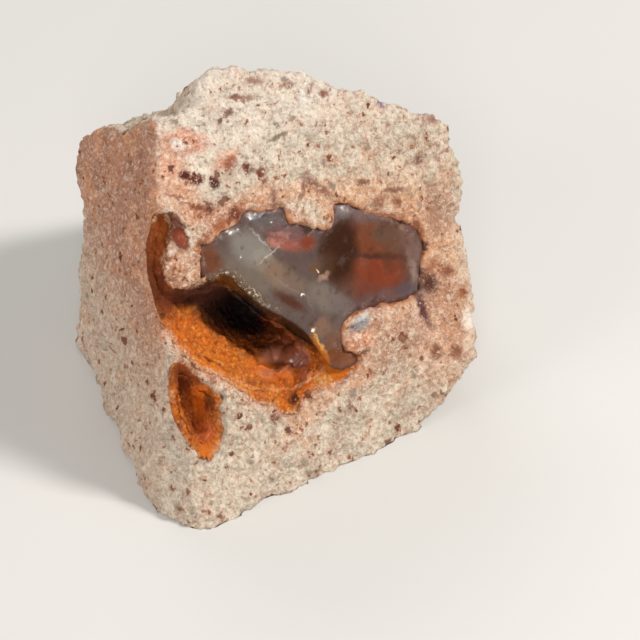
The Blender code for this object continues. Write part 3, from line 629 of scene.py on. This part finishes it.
def rhyolite_finish(colours):
    """Sandy, pale rhyolite with salmon stains, grey grains and dark iron specks."""
    finish = Finish("rhyolite")
    near_crust = finish.attribute("crust_distance")
    near_agate = finish.attribute("agate_distance")
    left = finish.attribute("left_face")
    near = near_crust.at_most(near_agate)

    cloud = finish.rise(finish.noise(2.6, 5.0, 0.65), 0.38, 0.62)
    colour = finish.mix(cloud, colours.rock_grey, colours.rock_cream)
    stain = finish.noise(2.4, 5.0, 0.66, shift=3.0)
    colour = finish.veil(colour, colours.rock_salmon, stain, 0.52, 0.68, 0.55)

    # The left face is browner towards its top.
    up = finish.axes(finish.in_mm)["Z"]
    high = finish.rise(up + 7.0 * finish.noise(4.0, 3.0), 9.0, 21.0)
    colour = finish.mix(left * (0.22 + 0.52 * high), colour, colours.left_stain)
    streaks = finish.rise(finish.noise(1.1, 4.0, 0.70, shift=12.0), 0.50, 0.62)
    colour = finish.mix(left * (0.15 + 0.85 * high) * streaks * 0.62, colour, LEFT_STREAK)
    colour = finish.mix(left * (1.0 - high) * 0.25, colour, LEFT_PALE)
    left_cloud = finish.rise(finish.noise(3.4, 4.0, 0.6, shift=7.0), 0.46, 0.62)
    colour = finish.mix(left * high * left_cloud * 0.55, colour, colours.rock_salmon)

    window = finish.window_place(finish.wavy(0.9, 1.4))
    along = finish.axes(window)
    on_window = (1.0 - left) * finish.rise(along["Z"], -3.0, -1.5)
    right_side = finish.rise(along["X"], 19.0, 27.0) * on_window
    crown = finish.rise(along["Y"], 25.0, 33.0) * on_window
    # Painted light: the top of the window face is lighter, where light falls on it from above.
    colour = finish.mix(crown * 0.50, colour, CROWN_PAINTED_LIGHT)
    colour = finish.mix(on_window, colour, finish.paint(colour, window, ROCK_STAINS))

    blotch = finish.rise(finish.noise(1.1, 4.0, 0.65, shift=5.0), 0.34, 0.58)
    colour = finish.veil(colour, RIM_RUST, near, 2.0, 0.3, blotch, 0.62)
    bleed = near_crust + 0.5 * finish.noise(0.7, 3.0)
    colour = finish.veil(colour, CRUST_BLEED, bleed, 1.05, 0.35, 0.85)

    # Brown and pale of four sizes, from the largest down to the grain.
    grains = finish.noise(0.15, 3.0, 0.72, shift=1.0)
    sand = finish.noise(0.42, 4.0, 0.70, shift=2.0)
    fresh = 1.0 - 0.30 * left - 0.28 * right_side
    mottle = finish.noise(1.0, 4.0, 0.68, shift=11.0)
    mottled = 0.22 * on_window + 0.40 * right_side
    colour = finish.veil(colour, MOTTLE_BROWN, mottle, 0.50, 0.62, mottled)
    colour = finish.veil(colour, MOTTLE_PALE, mottle, 0.46, 0.34, on_window, 0.35)
    bedded = finish.turned(window, (0.0, 0.0, 0.0), BEDDING_TURN, (BEDDING_STRETCH, 1.0, 1.0))
    smears = finish.noise(0.75, 4.0, 0.66, vector=bedded)
    smeared = on_window - 0.6 * crown
    colour = finish.veil(colour, SMEAR_BROWN, smears, 0.54, 0.63, smeared, 0.55)
    colour = finish.veil(colour, SMEAR_PALE, smears, 0.44, 0.36, smeared, 0.32)
    colour = finish.veil(colour, SAND_PALE, sand, 0.50, 0.62, 0.58, fresh)
    colour = finish.veil(colour, SAND_BROWN, sand, 0.48, 0.36, 0.64)
    colour = finish.veil(colour, GRAIN_PALE, grains, 0.53, 0.66, 0.52, fresh)
    colour = finish.veil(colour, GRAIN_BROWN, grains, 0.45, 0.32, 0.64)

    seam = near_agate + 1.1 * finish.noise(0.6, 4.0, 0.7, shift=6.0)
    colour = finish.veil(colour, SEAM_RUST, seam, 1.65, 0.85, on_window, 0.85)
    dark_seam = finish.rise(finish.noise(1.6, 3.0, 0.6, shift=4.0), 0.47, 0.58) * on_window
    colour = finish.veil(colour, SEAM_DARK, seam, 1.25, 0.65, dark_seam, 0.85)

    # Iron specks and grey grains crowd towards the fillings.
    crowd = finish.rise(near, 12.0, 1.0) * 0.20
    crowd = crowd + finish.rise(finish.noise(4.2, 2.0), 0.35, 0.65) * 0.30
    uneven = finish.wavy(0.5, 1.0)
    for apart, biggest, share, shade in (
        (2.60, 0.200, 0.34, colours.rock_speck),
        (1.35, 0.260, 0.36, colours.rock_speck),
        (0.80, 0.280, 0.26, SPECK_RED),
        (1.60, 0.240, 0.10, SPECK_GREY),
    ):
        dots = finish.cells(apart, uneven)
        draw = finish.add("ShaderNodeSeparateColor", {}, {0: dots["Color"]})
        reach = biggest * (0.35 + 0.65 * draw["Red"])
        there = finish.rise(share + crowd - draw["Green"], 0.0, 0.06)
        halo = finish.rise(dots["Distance"], 1.8 * reach, 0.9 * reach) * there
        colour = finish.mix(halo * 0.32, colour, SPECK_HALO)
        ragged = dots["Distance"] + 0.40 * biggest * (grains - 0.5) + 0.95 * biggest * (sand - 0.5)
        speck = finish.rise(ragged, 1.12 * reach, 0.72 * reach) * there
        colour = finish.mix(speck * (0.66 + 0.34 * draw["Blue"]), colour, shade)

    marked = finish.paint(colour, finish.window_place(finish.wavy(0.40, 0.8)), ROCK_MARKS)
    broken = finish.rise(finish.noise(0.34, 4.0, 0.75, shift=8.0), 0.37, 0.46)
    colour = finish.mix(on_window * broken, colour, marked)
    chipped = finish.window_place(finish.wavy(0.6, 0.8))
    whole = on_window * (0.86 + 0.14 * broken)
    colour = finish.mix(whole, colour, finish.paint(colour, chipped, GLASSY_CHIP))

    height = grains * 0.5 + sand * 1.6 + finish.cells(0.45)["Distance"] * 0.6
    glassy = finish.patch(chipped, GLASSY_CHIP[0]) * on_window
    finish.principled(
        base_color=colour,
        roughness=0.90 - 0.32 * glassy,
        specular_ior_level=0.28,
        normal=finish.bump(height * (1.0 - 0.8 * glassy), 1.0, 0.32),
    )
    return finish.material


def agate_finish(colours):
    """Broken agate: milky bands, dark clear windows and red-brown depths."""
    finish = Finish("agate")
    window = finish.window_place(finish.wavy(1.5, 1.2))
    colour = finish.paint(colours.agate, window, AGATE_PATCHES)
    wisps = finish.noise(0.9, 5.0, 0.62)
    colour = finish.veil(colour, WISP_PALE, wisps, 0.54, 0.74, 0.10)
    colour = finish.veil(colour, WISP_DARK, wisps, 0.48, 0.28, 0.50)

    # A thin skin against the rock, and flecks a little further in.
    skin = finish.rise(finish.attribute("rock_distance") + 0.8 * finish.noise(0.6, 4.0), 0.80, 0.42)
    purple = finish.rise(finish.noise(2.0, 2.0), 0.45, 0.55)
    colour = finish.mix(skin * 0.60, colour, finish.mix(purple, SKIN_BROWN, SKIN_PURPLE))
    broken = finish.noise(0.30, 4.0, 0.7, shift=6.0)
    near_rock = finish.rise(finish.attribute("rock_distance") + 1.2 * broken, 1.55, 0.95)
    fleck = finish.noise(0.55, 4.0, 0.72, shift=3.0)
    colour = finish.veil(colour, FLECK_PALE, fleck, 0.56, 0.64, near_rock, 0.50)
    colour = finish.veil(colour, FLECK_DARK, fleck, 0.45, 0.37, near_rock, 0.70)

    marked = finish.paint(colour, finish.window_place(finish.wavy(0.45, 0.85)), AGATE_MARKS_AND_PAINTED_GLINTS)
    cloudy = finish.patch(window, STREAKED_CLOUD)
    marked = finish.veil(marked, CLOUD_DARK, fleck, 0.47, 0.40, cloudy, 0.75)
    marked = finish.veil(marked, CLOUD_PINK, fleck, 0.55, 0.63, cloudy, 0.45)
    colour = finish.mix(finish.rise(broken, 0.30, 0.50), colour, marked)

    chipped = finish.patch(window, CHIPPED_LIP)
    rim = finish.attribute("crust_distance") + 0.7 * finish.noise(1.2, 2.0)
    rim = finish.rise(rim, 1.00, 0.55) * chipped
    crumbs = rim * finish.rise(finish.noise(0.30, 4.0, 0.72, shift=9.0), 0.52, 0.60)
    colour = finish.mix(rim * 0.60, colour, LIP_BROWN)
    colour = finish.mix(crumbs * 0.78, colour, LIP_CRUMBS)

    ripples = finish.noise(1.3, 2.0, 0.5) + 0.06 * finish.noise(0.2, 2.0) + 0.5 * crumbs
    finish.principled(
        base_color=colour,
        roughness=0.14 + 0.16 * finish.noise(0.9, 3.0) + 0.35 * skin.at_least(rim * 0.6),
        ior=AGATE_IOR,
        specular_ior_level=0.28,
        transmission_weight=AGATE_CLEARNESS,
        normal=finish.bump(ripples, 0.30, 0.25),
    )
    depth = {"Color": (*colours.agate_depth, 1.0), "Density": AGATE_ABSORPTION}
    finish.show(finish.add("ShaderNodeVolumeAbsorption", {}, depth), "Volume")
    return finish.material


def crust_finish(name, colours, stains, shades_and_painted_light, bubbles):
    """Orange grainy crust with painted shade that darkens it inwards, and glossy brown bubbles where
    it has them.
    """
    finish = Finish(name)
    seen = finish.seen_place(finish.wavy(0.8, 0.9))
    out = finish.axes(seen)["Z"]
    # Painted shade: the bright orange and the pale grit fade out between 2 and 5 millimetres into the
    # hollow.
    painted_light_near_mouth = finish.rise(out, -5.0, -2.0)
    mottle = finish.rise(finish.noise(0.9, 5.0, 0.70), 0.36, 0.60)
    colour = finish.mix(mottle, CRUST_DEEP, colours.crust_orange)
    colour = finish.paint(colour, seen, stains)
    bright = finish.noise(0.6, 4.0, 0.70, shift=2.0)
    colour = finish.veil(colour, CRUST_BRIGHT, bright, 0.50, 0.66, painted_light_near_mouth, 0.55)
    dark = finish.noise(0.8, 5.0, 0.72, shift=4.0)
    colour = finish.veil(colour, colours.crust_brown, dark, 0.48, 0.34, 0.60)
    grit = finish.cells(0.34, finish.wavy(0.3, 0.30))
    pick = finish.add("ShaderNodeSeparateColor", {}, {0: grit["Color"]})["Red"]
    colour = finish.veil(colour, colours.crust_brown, grit["Distance"], 0.40, 0.70, 0.35)
    colour = finish.veil(colour, GRIT_PALE, pick, 0.80, 0.95, painted_light_near_mouth, 0.22)

    gloss = finish.attribute("bubbles") if bubbles else 0.0
    swirl = finish.rise(finish.noise(0.9, 3.0), 0.4, 0.6)
    colour = finish.mix(gloss * 0.85, colour, finish.mix(swirl, colours.bubble_brown, BUBBLE_PINK))
    # Crust colours laid over, with painted shade and painted highlights among them.
    colour = finish.paint(colour, seen, shades_and_painted_light)

    # Sand of the rock clings to the crust's outer edge.
    ragged = finish.noise(0.8, 5.0, 0.72, shift=7.0)
    fringe = finish.rise(finish.attribute("rock_distance") + 1.5 * ragged, 1.10, 0.80)
    fringe = fringe * finish.rise(out, -1.2, -0.5)
    sand = finish.rise(finish.noise(0.25, 3.0, 0.72, shift=8.0), 0.40, 0.60)
    sandy = finish.mix(sand, FRINGE_BROWN, FRINGE_PALE)
    colour = finish.mix(fringe * (0.80 if bubbles else 0.50), colour, sandy)
    if bubbles:
        streaks = finish.rise(finish.noise(0.30, 4.0, 0.7, shift=6.0), 0.38, 0.50)
        fine = finish.seen_place(finish.wavy(0.5, 0.6))
        colour = finish.mix(streaks, colour, finish.paint(colour, fine, CRUST_MARKS))
    grain = finish.noise(0.15, 3.0, 0.72) - 0.9 * grit["Distance"]
    finish.principled(
        base_color=colour,
        roughness=0.72 - 0.50 * gloss,
        specular_ior_level=0.25,
        coat_weight=0.60 * gloss,
        normal=finish.bump(grain * (1.0 - 0.88 * gloss), 0.9, 0.20),
    )
    return finish.material


def floor_finish(colours):
    """Matt pale card, with the faintest unevenness."""
    finish = Finish("pale floor")
    colour = finish.mix(finish.noise(90.0, 2.0) * 0.06, colours.floor, FLOOR_SHADE)
    finish.principled(base_color=colour, roughness=0.9)
    return finish.material


def window_axes():
    """The window face's directions: right across it, up it, and out of it."""
    across = Vector((1.0, 0.0, 0.0))
    rise = Vector((0.0, math.sin(WINDOW_LEAN), math.cos(WINDOW_LEAN)))
    return across, rise, across.cross(rise)


def sideways(normal):
    """The part of a normal that doesn't point out of the window face."""
    out = window_axes()[2]
    return normal - out * max(0.0, normal.dot(out))


def window_point(place):
    """A point's place on the window face, in millimetres: right, up and out."""
    offset = place / MM - TOE
    return Vector(axis.dot(offset) for axis in window_axes())


def add_object(name, data):
    """A new object that holds the data, in the scene."""
    made = bpy.data.objects.new(name, data)
    bpy.context.scene.collection.objects.link(made)
    return made


def grow_from(node, name, grid):
    """A new piece in a CAD node's shape, with an even grid of points."""
    bm = bmesh.new()
    bm.from_mesh(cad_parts[node].data)
    bmesh.ops.remove_doubles(bm, verts=bm.verts[:], dist=1e-7)
    mesh = bpy.data.meshes.new(name)
    bm.to_mesh(mesh)
    bm.free()
    piece = add_object(name, mesh)
    even_grid(piece, grid)
    return piece


def even_grid(piece, grid):
    """Rebuilds the piece's mesh with its points an even distance apart."""
    remesh = piece.modifiers.new("even grid", "REMESH")
    remesh.mode = "VOXEL"
    remesh.voxel_size = grid
    bpy.context.view_layer.update()
    seen = piece.evaluated_get(bpy.context.evaluated_depsgraph_get())
    made = bpy.data.meshes.new_from_object(seen)
    piece.modifiers.clear()
    piece.data = made


def reshape(piece, rounds, move):
    """Smooths the piece, and then moves each point by what the rule gives."""
    bm = bmesh.new()
    bm.from_mesh(piece.data)
    for _ in range(rounds):
        bmesh.ops.smooth_vert(
            bm, verts=bm.verts[:], factor=0.5, use_axis_x=True, use_axis_y=True, use_axis_z=True
        )
    bm.normal_update()
    moves = [move(vert.co, vert.normal) for vert in bm.verts]
    for vert, step in zip(bm.verts, moves):
        vert.co += step
    bm.to_mesh(piece.data)
    bm.free()


def surface_of(node):
    """A CAD node's surface, to look up the nearest point of."""
    bm = bmesh.new()
    bm.from_mesh(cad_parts[node].data)
    tree = BVHTree.FromBMesh(bm)
    bm.free()
    return tree


def distance_to(node):
    """A rule that gives a place's distance to a CAD node's surface, in millimetres."""
    tree = surface_of(node)
    return lambda place: tree.find_nearest(place)[3] / MM


def way_to(*nodes):
    """A rule that gives the step from a place to the nearest of the nodes' surfaces."""
    trees = [surface_of(node) for node in nodes]

    def nearest_step(place):
        steps = [tree.find_nearest(place)[0] - place for tree in trees]
        return min(steps, key=lambda step: step.length)

    return nearest_step


def note(piece, name, rule):
    """Keeps a number at each point of the piece, for its finish to read."""
    kept = piece.data.attributes.new(name, "FLOAT", "POINT")
    kept.data.foreach_set("value", [rule(vert.co) for vert in piece.data.vertices])


def dress(piece, material, *nodes):
    """Gives the piece its finish, and puts it in its nodes' place."""
    piece.data.materials.clear()
    piece.data.materials.append(material)
    piece.data.shade_smooth()
    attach(piece, "root")
    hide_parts(*nodes)
    nodes[0]


def step_between(value, low, high):
    """A smooth step from 0 at low to 1 at high."""
    share = min(1.0, max(0.0, (value - low) / (high - low)))
    return share * share * (3.0 - 2.0 * share)


def shake(at):
    """A way to go from a place, which changes smoothly over about one unit."""
    return Vector(noise.noise(at + shift) for shift in SHAKE_SHIFTS)


def bulge(at):
    """How far the surface stands out at a place where the block is fuller."""
    return sum(
        push.height * step_between(push.reach - (at - Vector(push.middle)).length, 0.0, push.reach)
        for push in BULGES
    )


def settle(piece, base):
    """Keeps the underside on the base that the block rests on."""
    for vert in piece.data.vertices:
        if vert.co.z < base + BASE_FLAT * MM:
            vert.co.z = base


def left_share(place):
    """1 on the left face and behind it, and 0 on the window face."""
    depth = LEFT_FACE_NORMAL.dot(place / MM - LEFT_FACE_THROUGH)
    return step_between(depth, -1.0, -0.45)


class FIREAGATE_OT_host_rock(bpy.types.Operator):
    """Grow the rhyolite block's broken surface"""

    bl_idname = "fire_agate.host_rock"
    bl_label = "Rhyolite block"

    def execute(self, context):
        sizes = context.scene.fire_agate_sizes
        rock = grow_from("host_rock", "rhyolite_block", sizes.rock_grid)
        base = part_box("host_rock")[0].z

        crust, agate = distance_to("hollow_crust"), distance_to("agate_filling")

        # What the place is divided by is the size of each form, in millimetres.
        def roughen(place, normal):
            at = place / MM
            near = min(crust(place), agate(place))
            seat = step_between(near, *SEAT_BAND)
            front = step_between(-place.y / MM, 0.0, 4.0)
            ragged = step_between(RAGGED_REACH - near, 0.0, 0.8) * front
            shaken = 0.32 * shake(at / 1.3) + 0.24 * shake(at / 0.6)
            lumps = noise.fractal(at / 1.7, 1.0, 2.0, 2)
            grain = noise.noise(at / 0.62) + 0.8 * noise.noise(at / 0.34)
            pits = max(0.0, noise.noise(at / 1.1 + Vector((7.0, 3.0, 1.0))) - 0.22)
            chips = noise.voronoi(at / 2.4)[0]
            ledge = step_between(chips[1] - chips[0], 0.0, 0.25) - 0.8
            height = sizes.rock_lumps * (lumps + 0.6 * ledge - 1.6 * pits)
            height = seat * (height + sizes.rock_grain * grain) + bulge(at) * MM
            step = normal * height + shaken * ragged * MM
            if place.z < base + BASE_STILL * MM:
                step.z = 0.0
            return step

        reshape(rock, 2, roughen)
        settle(rock, base)
        note(rock, "crust_distance", crust)
        note(rock, "agate_distance", agate)
        note(rock, "left_face", left_share)
        dress(rock, rhyolite_finish(context.scene.fire_agate_colours), "host_rock")
        return {"FINISHED"}


class FIREAGATE_OT_agate(bpy.types.Operator):
    """Grow the agate's broken, shell-like face"""

    bl_idname = "fire_agate.agate"
    bl_label = "Agate"

    def execute(self, context):
        sizes = context.scene.fire_agate_sizes
        agate = grow_from("agate_filling", "agate_window", sizes.agate_grid)
        out = window_axes()[2]

        def break_face(place, normal):
            facing = step_between(normal.dot(out), 0.70, 0.93)
            at = place / MM
            near = noise.voronoi(at / 4.2)[0]
            scoop = max(0.0, 1.0 - 1.6 * near[0]) - 0.3
            ripple = 0.08 * noise.noise(at / 0.7)
            fill = sideways(normal) * sizes.seat_gap * (1.0 - facing)
            return fill - normal * facing * sizes.agate_break * (scoop + ripple)

        reshape(agate, 2, break_face)
        note(agate, "rock_distance", distance_to("host_rock"))
        note(agate, "crust_distance", distance_to("hollow_crust"))
        dress(agate, agate_finish(context.scene.fire_agate_colours), "agate_filling")
        return {"FINISHED"}


def bubble_share(place):
    """1 in the middle of the hollow's glossy bubbles, and 0 beyond them."""
    window = window_point(place)
    away = window + Vector(SEEN_SHIFT) * window.z - Vector((*BUBBLE_FIELD, window.z))
    reach = BUBBLE_REACH - math.hypot(away.x, 1.5 * away.y)
    return step_between(reach, 0.0, 1.2) * step_between(-window.z, 0.9, 1.8)


def bubble_at(place):
    """Height of a round bubble over the place, from 0 to 1."""
    near = noise.voronoi(place / MM / BUBBLE_APART)[0][0]
    return math.sqrt(max(0.0, 1.0 - (near / BUBBLE_ROUND) ** 2))


def line_hollow(sizes, place, normal, wall, relief):
    """Seats a crust against the wall behind it, slopes its lip inwards and roughens the rest."""
    out = window_axes()[2]
    gap = wall.length / MM
    outer = step_between(normal.dot(wall.normalized()), 0.1, 0.5) * step_between(2.0 - gap, 0.0, 0.5)
    lip = step_between(normal.dot(out), 0.35, 0.8) * step_between(window_point(place).z, -3.2, -1.6)
    slope = -out * lip * max(0.0, gap - 0.2) * 1.15 * MM
    return normal * relief * (1.0 - outer) + sideways(normal) * sizes.seat_gap * outer + slope


class FIREAGATE_OT_hollow_crust(bpy.types.Operator):
    """Grow the orange crust and its glossy bubbles in the open hollow"""

    bl_idname = "fire_agate.hollow_crust"
    bl_label = "Crust of the hollow"

    def execute(self, context):
        sizes = context.scene.fire_agate_sizes
        crust = grow_from("hollow_crust", "crust_of_hollow", sizes.crust_grid)
        wall = way_to("host_rock", "agate_filling")

        def encrust(place, normal):
            at = place / MM
            share = bubble_share(place)
            bubbles = sizes.bubble_height * share * (bubble_at(place) - 0.35)
            lumps = 0.20 * noise.fractal(at / 1.0, 1.0, 2.0, 2)
            grain = 0.20 * noise.noise(at / 0.62) + 0.13 * noise.noise(at / 0.33)
            rough = (lumps + grain) * (1.0 - 0.8 * share) * MM
            return line_hollow(sizes, place, normal, wall(place), bubbles + rough)

        reshape(crust, 1, encrust)
        note(crust, "bubbles", bubble_share)
        note(crust, "rock_distance", distance_to("host_rock"))
        colours = context.scene.fire_agate_colours
        material = crust_finish("orange crust", colours, CRUST_STAINS, CRUST_SHADES_AND_PAINTED_LIGHT, True)
        dress(crust, material, "hollow_crust")
        return {"FINISHED"}


class FIREAGATE_OT_pit_crust(bpy.types.Operator):
    """Grow the orange crust of the small pit"""

    bl_idname = "fire_agate.pit_crust"
    bl_label = "Crust of the pit"

    def execute(self, context):
        sizes = context.scene.fire_agate_sizes
        crust = grow_from("pit_crust", "crust_of_pit", sizes.crust_grid)
        wall = way_to("host_rock")

        def encrust(place, normal):
            at = place / MM
            lumps = 0.32 * noise.fractal(at / 1.0, 1.0, 2.0, 3) + 0.13 * noise.noise(at / 0.33)
            return line_hollow(sizes, place, normal, wall(place), lumps * MM)

        reshape(crust, 1, encrust)
        note(crust, "rock_distance", distance_to("host_rock"))
        colours = context.scene.fire_agate_colours
        dress(crust, crust_finish("orange pit crust", colours, (), PIT_SHADES_AND_PAINTED_LIGHT, False), "pit_crust")
        return {"FINISHED"}


def area_light(lamp):
    """A soft light, turned towards the middle of the stone."""
    light = bpy.data.lights.new(lamp.name, "AREA")
    light.shape = "RECTANGLE"
    light.size, light.size_y = lamp.size
    light.energy = lamp.watts
    light.color = lamp.colour
    made = add_object(lamp.name, light)
    made.location = lamp.place
    aim = Vector(LIGHTS_AIM) - Vector(lamp.place)
    made.rotation_euler = aim.to_track_quat("-Z", "Y").to_euler()


class FIREAGATE_OT_stage(bpy.types.Operator):
    """Set the pale floor, the soft lights and the camera"""

    bl_idname = "fire_agate.stage"
    bl_label = "Stage"

    def execute(self, context):
        scene = context.scene
        bm = bmesh.new()
        bmesh.ops.create_grid(bm, x_segments=1, y_segments=1, size=FLOOR_HALF)
        mesh = bpy.data.meshes.new("floor")
        bm.to_mesh(mesh)
        bm.free()
        floor = add_object("floor", mesh)
        floor.location.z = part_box("host_rock")[0].z
        mesh.materials.append(floor_finish(scene.fire_agate_colours))

        for lamp in LAMPS:
            area_light(lamp)
        world = bpy.data.worlds.new("studio")
        world.use_nodes = True
        background = world.node_tree.nodes["Background"].inputs
        background["Color"].default_value = STUDIO_COLOUR
        background["Strength"].default_value = STUDIO_STRENGTH
        scene.world = world
        scene.view_settings.view_transform = "Standard"

        data = bpy.data.cameras.new("camera")
        data.lens = CAMERA_LENS
        data.sensor_width = CAMERA_SENSOR
        data.clip_start = CAMERA_NEAR
        camera = add_object("camera", data)
        camera.location = (TOE + CAMERA_FROM_TOE) * MM
        camera.rotation_euler = CAMERA_LOOK.to_track_quat("-Z", "Y").to_euler()
        scene.camera = camera
        return {"FINISHED"}


class FIREAGATE_PT_panel(bpy.types.Panel):
    """The stone's pieces, sizes and colours"""

    bl_label = "Fire Agate"
    bl_idname = "FIREAGATE_PT_panel"
    bl_space_type = "VIEW_3D"
    bl_region_type = "UI"
    bl_category = "Fire Agate"

    def draw(self, context):
        layout = self.layout
        for group in (context.scene.fire_agate_sizes, context.scene.fire_agate_colours):
            box = layout.box()
            for name in group.__annotations__:
                box.prop(group, name)
        for piece in PIECES:
            layout.operator(piece.bl_idname)


PIECES = (
    FIREAGATE_OT_host_rock,
    FIREAGATE_OT_agate,
    FIREAGATE_OT_hollow_crust,
    FIREAGATE_OT_pit_crust,
    FIREAGATE_OT_stage,
)
CLASSES = (StoneSizes, StoneColours, *PIECES, FIREAGATE_PT_panel)


def register():
    for each in CLASSES:
        bpy.utils.register_class(each)
    bpy.types.Scene.fire_agate_sizes = bpy.props.PointerProperty(type=StoneSizes)
    bpy.types.Scene.fire_agate_colours = bpy.props.PointerProperty(type=StoneColours)


def unregister():
    del bpy.types.Scene.fire_agate_colours
    del bpy.types.Scene.fire_agate_sizes
    for each in reversed(CLASSES):
        bpy.utils.unregister_class(each)


def main():
    register()
    bpy.ops.fire_agate.host_rock()
    bpy.ops.fire_agate.agate()
    bpy.ops.fire_agate.hollow_crust()
    bpy.ops.fire_agate.pit_crust()
    bpy.ops.fire_agate.stage()


if __name__ == "__main__":
    main()
